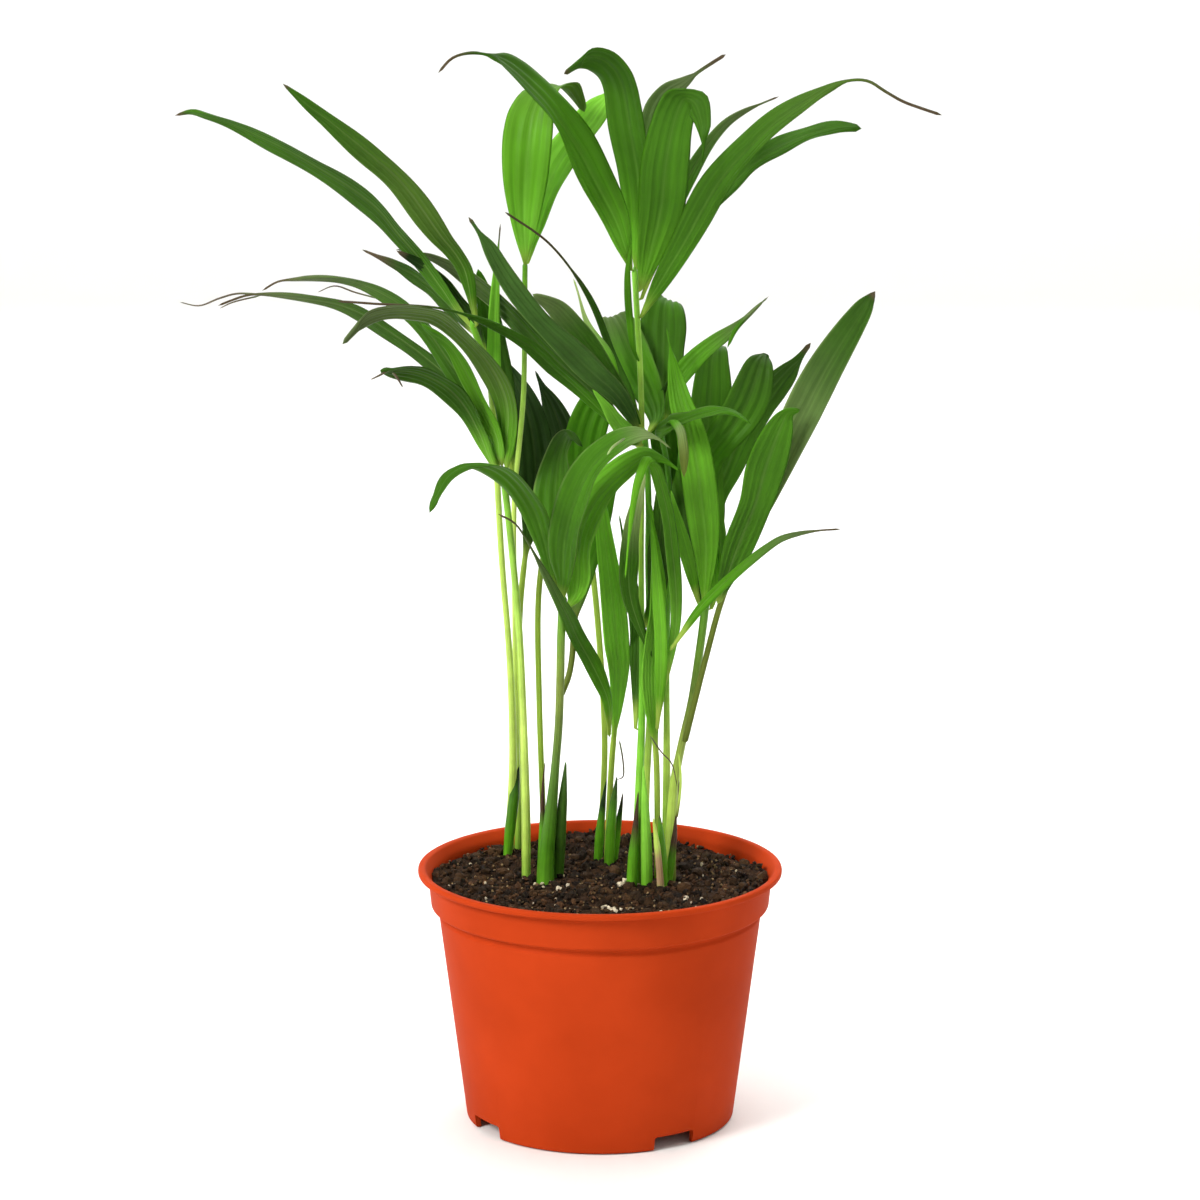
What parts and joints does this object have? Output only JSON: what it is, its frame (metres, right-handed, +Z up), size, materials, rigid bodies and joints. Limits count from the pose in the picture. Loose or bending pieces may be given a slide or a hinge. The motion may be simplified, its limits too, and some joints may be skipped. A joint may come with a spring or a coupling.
{
  "type": "potted palm",
  "caption": "Young feather palm in a round tapered plastic nursery pot, with clumps of slender upright stalks and long narrow arching leaflets over dark potting soil",
  "frame": {"origin": "centre of the pot's foot pad, on the surface the pot stands on", "axes": "+Z up along the pot's axis, -Y the front of the plant, +X to the right seen from the front"},
  "size_m": [0.3132, 0.1746, 0.4475],
  "materials": {
    "pot": "satin",
    "soil": "matte",
    "stalk": "satin",
    "leaf_light": "satin",
    "leaf_fresh": "satin",
    "leaf_mid": "satin",
    "leaf_dark": "satin"
  },
  "bodies": {
    "root": {"leaf_back_1": "leaf_dark", "leaf_back_2": "leaf_dark", "leaf_centre_1": "leaf_dark", "leaf_centre_2": "leaf_dark", "leaf_centre_3": "leaf_dark", "leaf_centre_4": "leaf_light", "leaf_centre_5": "leaf_light", "leaf_centre_6": "leaf_dark", "leaf_centre_7": "leaf_dark", "leaf_centre_8": "leaf_dark", "leaf_far_right_1": "leaf_mid", "leaf_far_right_2": "leaf_fresh", "leaf_front_1": "leaf_mid", "leaf_front_2": "leaf_mid", "leaf_front_3": "leaf_mid", "leaf_front_4": "leaf_mid", "leaf_front_5": "leaf_dark", "leaf_inner_1": "leaf_light", "leaf_inner_2": "leaf_dark", "leaf_inner_3": "leaf_light", "leaf_inner_4": "leaf_light", "leaf_inner_right_1": "leaf_dark", "leaf_inner_right_2": "leaf_mid", "leaf_inner_right_3": "leaf_fresh", "leaf_left_1": "leaf_fresh", "leaf_left_2": "leaf_mid", "leaf_left_3": "leaf_mid", "leaf_left_4": "leaf_dark", "leaf_low_1": "leaf_fresh", "leaf_low_2": "leaf_mid", "leaf_low_right": "leaf_mid", "leaf_right_1": "leaf_light", "leaf_right_2": "leaf_dark", "leaf_right_3": "leaf_fresh", "leaf_right_4": "leaf_mid", "leaf_right_5": "leaf_mid", "leaf_right_6": "leaf_dark", "leaf_spear": "leaf_light", "leaf_top_1": "leaf_mid", "leaf_top_2": "leaf_mid", "leaf_top_3": "leaf_mid", "leaf_top_4": "leaf_dark", "leaf_top_5": "leaf_mid", "leaf_top_6": "leaf_mid", "leaf_top_7": "leaf_mid", "leaf_top_left_1": "leaf_fresh", "leaf_top_left_2": "leaf_fresh", "leaf_upper_left_1": "leaf_mid", "leaf_upper_left_2": "leaf_mid", "leaf_upper_left_3": "leaf_dark", "pot": "pot", "soil": "soil", "stalk_centre": "stalk", "stalk_front": "stalk", "stalk_inner_right": "stalk", "stalk_left": "stalk", "stalk_right": "stalk", "stalk_top": "stalk", "stalk_top_left": "stalk", "stalk_upper_left": "stalk"}
  },
  "joints": []
}
